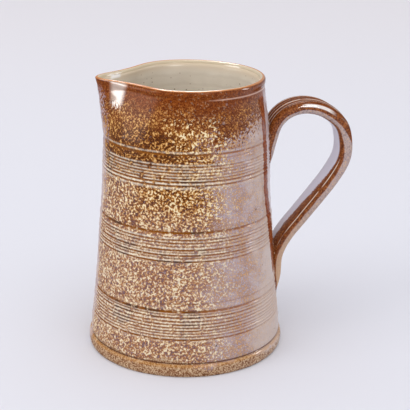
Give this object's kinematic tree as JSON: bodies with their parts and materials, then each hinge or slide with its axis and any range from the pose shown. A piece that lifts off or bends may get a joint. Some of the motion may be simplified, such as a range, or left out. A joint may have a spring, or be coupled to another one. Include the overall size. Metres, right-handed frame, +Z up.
{
  "type": "stoneware jug",
  "caption": "Hand-thrown salt-glazed stoneware jug with a pulled pouring lip, a pulled strap handle, combed bands round a tapering wall and a pale glaze lining.",
  "frame": {"origin": "middle of the flat foot, on the thrown axis, at table level", "axes": "+Z up the thrown axis, +X towards the handle, the pouring lip points along -X"},
  "size_m": [0.1903, 0.142, 0.198],
  "materials": {
    "salt_glazed_body": "glossy, mottled ochre and brown salt glaze",
    "liner_glaze": "smooth pale grey glaze with small brown specks",
    "salt_glazed_handle": "glossy red-brown salt glaze",
    "joint_slip": "fired clay slip"
  },
  "bodies": {
    "root": {"thrown_body": "salt_glazed_body", "liner_glaze": "liner_glaze", "handle_strap": "salt_glazed_handle", "upper_joint_slip": "joint_slip", "lower_joint_slip": "joint_slip"}
  },
  "joints": []
}
